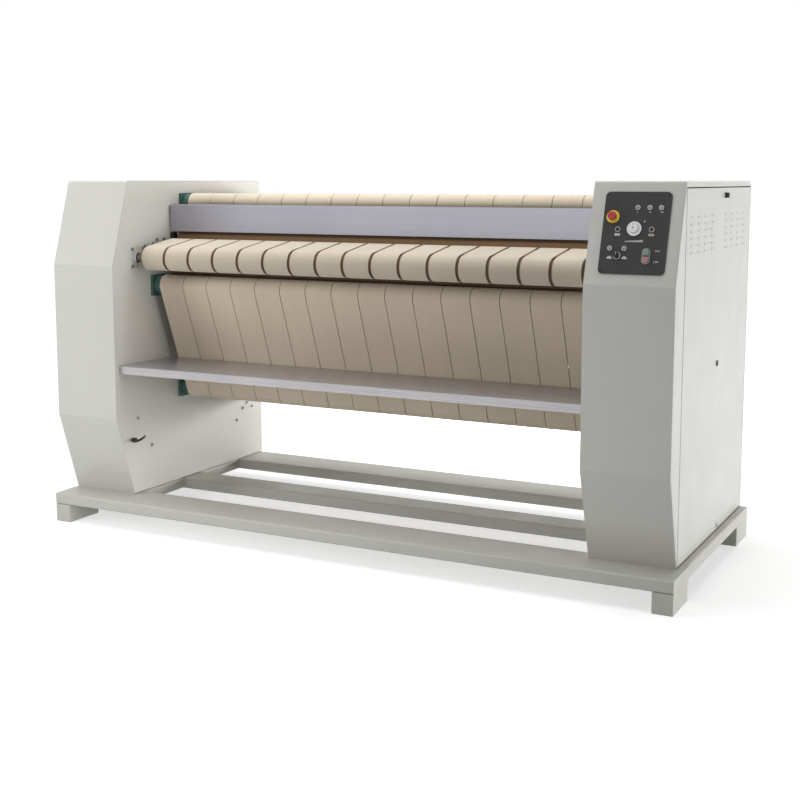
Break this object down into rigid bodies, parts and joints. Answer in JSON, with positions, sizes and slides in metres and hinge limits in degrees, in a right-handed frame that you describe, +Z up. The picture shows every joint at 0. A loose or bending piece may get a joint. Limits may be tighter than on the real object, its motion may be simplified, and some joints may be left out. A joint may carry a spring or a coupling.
{
  "type": "flatwork ironer",
  "caption": "Free-standing flatwork ironer: feed belts and a finger guard lead linen to a heated cylinder wrapped by ironing belts, with a front tray and a control console.",
  "frame": {"origin": "middle of the footprint on the floor", "axes": "+X to the right along the rolls as the operator sees them, +Y away from the operator, +Z up"},
  "size_m": [2.856, 1.19, 1.54],
  "materials": {
    "paint": "smooth semi-gloss enamel",
    "stainless": "brushed along its length",
    "steel": "ground",
    "green_paint": "satin",
    "brown_rubber": "matt",
    "belt": "needle felt",
    "fascia": "matt film",
    "black_plastic": "satin",
    "chrome": "polished",
    "silver": "turned",
    "lens": "frosted lens",
    "yellow": "gloss",
    "red": "gloss",
    "green": "gloss",
    "motor_grey": "satin"
  },
  "bodies": {
    "root": {"base_front_rail": "paint", "base_rear_rail": "paint", "base_middle_rail": "paint", "base_left_end": "paint", "base_right_end": "paint", "base_foot_front_left": "paint", "base_foot_rear_left": "paint", "base_foot_front_right": "paint", "base_foot_rear_right": "paint", "left_frame_plate": "paint", "left_cover": "paint", "left_side_panel": "paint", "left_rear_panel": "paint", "right_frame_plate": "paint", "right_cover": "paint", "right_side_panel": "paint", "right_rear_panel": "paint", "tray": "stainless", "heater_core": "steel", "drive_chain": "steel", "ironing_belts": "belt", "feed_belts": "belt", "control_fascia": "fascia", "guard_limit_switch": "black_plastic", "selector_bezel": "chrome", "twin_button_bezel": "chrome", "lamp_power": "lens", "lamp_heating": "lens", "lamp_ready": "lens", "lamp_slow": "lens", "lamp_fast": "lens", "estop_collar": "yellow", "gear_motor": "motor_grey", "electrical_box": "motor_grey"},
    "cylinder": {"heated_cylinder": "steel", "cylinder_sprocket": "steel"},
    "top_front_roll": {"top_front_roller": "green_paint"},
    "lower_front_roll": {"lower_front_roller": "green_paint"},
    "bottom_front_roll": {"bottom_front_roller": "green_paint"},
    "bottom_rear_roll": {"bottom_rear_roller": "green_paint"},
    "top_rear_roll": {"top_rear_roller": "green_paint"},
    "feed_front_roll": {"feed_front_roller": "brown_rubber"},
    "feed_rear_roll": {"feed_rear_roller": "brown_rubber"},
    "motor_shaft": {"motor_sprocket": "steel"},
    "guard": {"finger_guard": "stainless"},
    "tension_lever": {"belt_tension_lever": "black_plastic"},
    "estop": {"estop_button": "red"},
    "dial": {"temperature_dial": "silver"},
    "cooler": {"cooler_button": "black_plastic"},
    "hotter": {"hotter_button": "black_plastic"},
    "selector": {"selector_knob": "black_plastic"},
    "start": {"start_button": "green"},
    "stop": {"stop_button": "red"},
    "left_top_lock": {"left_lock_top": "black_plastic"},
    "left_middle_lock": {"left_lock_middle": "black_plastic"},
    "left_bottom_lock": {"left_lock_bottom": "chrome"},
    "right_top_lock": {"right_lock_top": "black_plastic"},
    "right_middle_lock": {"right_lock_middle": "black_plastic"},
    "right_bottom_lock": {"right_lock_bottom": "chrome"}
  },
  "joints": [
    {"name": "cylinder_spin", "type": "hinge", "parent": "root", "child": "cylinder", "pos_m": [-0.015, 0.042, 1.14], "axis": [1, 0, 0], "continuous": true},
    {"name": "top_front_roller_spin", "type": "hinge", "parent": "root", "child": "top_front_roll", "pos_m": [-0.015, -0.03, 1.435], "axis": [1, 0, 0], "continuous": true},
    {"name": "lower_front_roller_spin", "type": "hinge", "parent": "root", "child": "lower_front_roll", "pos_m": [-0.015, -0.254, 1.068], "axis": [1, 0, 0], "continuous": true},
    {"name": "bottom_front_roller_spin", "type": "hinge", "parent": "root", "child": "bottom_front_roll", "pos_m": [-0.015, -0.066, 0.577], "axis": [1, 0, 0], "continuous": true},
    {"name": "bottom_rear_roller_spin", "type": "hinge", "parent": "root", "child": "bottom_rear_roll", "pos_m": [-0.015, 0.46, 0.485], "axis": [1, 0, 0], "continuous": true},
    {"name": "top_rear_roller_spin", "type": "hinge", "parent": "root", "child": "top_rear_roll", "pos_m": [-0.015, 0.48, 1.42], "axis": [1, 0, 0], "continuous": true},
    {"name": "feed_front_roller_spin", "type": "hinge", "parent": "root", "child": "feed_front_roll", "pos_m": [-0.015, -0.39, 1.199], "axis": [1, 0, 0], "continuous": true},
    {"name": "feed_rear_roller_spin", "type": "hinge", "parent": "root", "child": "feed_rear_roll", "pos_m": [-0.015, -0.225, 1.25], "axis": [1, 0, 0], "continuous": true},
    {"name": "motor_spin", "type": "hinge", "parent": "root", "child": "motor_shaft", "pos_m": [1.1225, 0.042, 0.75], "axis": [1, 0, 0], "continuous": true},
    {"name": "guard_swing", "type": "hinge", "parent": "root", "child": "guard", "pos_m": [-0.015, -0.15, 1.424], "axis": [1, 0, 0], "range_deg": [0, 4.5], "stiffness_Nm_per_rad": 10, "springref_deg": -2.86},
    {"name": "tension_lever_swing", "type": "hinge", "parent": "root", "child": "tension_lever", "pos_m": [-1.1, -0.416, 0.474], "axis": [1, 0, 0], "range_deg": [0, 55]},
    {"name": "estop_push", "type": "slide", "parent": "root", "child": "estop", "axis": [0, 0.9549, -0.2968], "range_m": [0, 0.005], "stiffness_N_per_m": 600, "springref_m": -0.002},
    {"name": "dial_turn", "type": "hinge", "parent": "root", "child": "dial", "pos_m": [1.227, -0.50641, 1.37065], "axis": [0, 0.9549, -0.2968], "range_deg": [0, 270]},
    {"name": "cooler_push", "type": "slide", "parent": "root", "child": "cooler", "axis": [0, 0.9549, -0.2968], "range_m": [0, 0.003], "stiffness_N_per_m": 400, "springref_m": -0.001},
    {"name": "hotter_push", "type": "slide", "parent": "root", "child": "hotter", "axis": [0, 0.9549, -0.2968], "range_m": [0, 0.003], "stiffness_N_per_m": 400, "springref_m": -0.001},
    {"name": "selector_turn", "type": "hinge", "parent": "root", "child": "selector", "pos_m": [1.174, -0.53609, 1.27516], "axis": [0, 0.9549, -0.2968], "range_deg": [-45, 45]},
    {"name": "start_push", "type": "slide", "parent": "root", "child": "start", "axis": [0, 0.9549, -0.2968], "range_m": [0, 0.004], "stiffness_N_per_m": 400, "springref_m": -0.002},
    {"name": "stop_push", "type": "slide", "parent": "root", "child": "stop", "axis": [0, 0.9549, -0.2968], "range_m": [0, 0.004], "stiffness_N_per_m": 400, "springref_m": -0.002},
    {"name": "left_top_lock_turn", "type": "hinge", "parent": "root", "child": "left_top_lock", "pos_m": [-1.424, 0.135, 1.484], "axis": [1, 0, 0], "range_deg": [0, 90]},
    {"name": "left_middle_lock_turn", "type": "hinge", "parent": "root", "child": "left_middle_lock", "pos_m": [-1.424, 0.074, 0.826], "axis": [1, 0, 0], "range_deg": [0, 90]},
    {"name": "left_bottom_lock_turn", "type": "hinge", "parent": "root", "child": "left_bottom_lock", "pos_m": [-1.424, 0.15, 0.156], "axis": [-1, 0, 0], "range_deg": [0, 90]},
    {"name": "right_top_lock_turn", "type": "hinge", "parent": "root", "child": "right_top_lock", "pos_m": [1.398, 0.135, 1.484], "axis": [-1, 0, 0], "range_deg": [0, 90]},
    {"name": "right_middle_lock_turn", "type": "hinge", "parent": "root", "child": "right_middle_lock", "pos_m": [1.398, 0.074, 0.826], "axis": [-1, 0, 0], "range_deg": [0, 90]},
    {"name": "right_bottom_lock_turn", "type": "hinge", "parent": "root", "child": "right_bottom_lock", "pos_m": [1.398, 0.15, 0.156], "axis": [1, 0, 0], "range_deg": [0, 90]}
  ],
  "couplings": [
    {"joint": "top_front_roller_spin", "follows": "cylinder_spin", "ratio": -5.5556},
    {"joint": "lower_front_roller_spin", "follows": "cylinder_spin", "ratio": -5.5556},
    {"joint": "bottom_front_roller_spin", "follows": "cylinder_spin", "ratio": -5.5556},
    {"joint": "bottom_rear_roller_spin", "follows": "cylinder_spin", "ratio": -5.5556},
    {"joint": "top_rear_roller_spin", "follows": "cylinder_spin", "ratio": -5.5556},
    {"joint": "feed_front_roller_spin", "follows": "cylinder_spin", "ratio": 5},
    {"joint": "feed_rear_roller_spin", "follows": "cylinder_spin", "ratio": 10.417},
    {"joint": "motor_spin", "follows": "cylinder_spin", "ratio": 2}
  ]
}
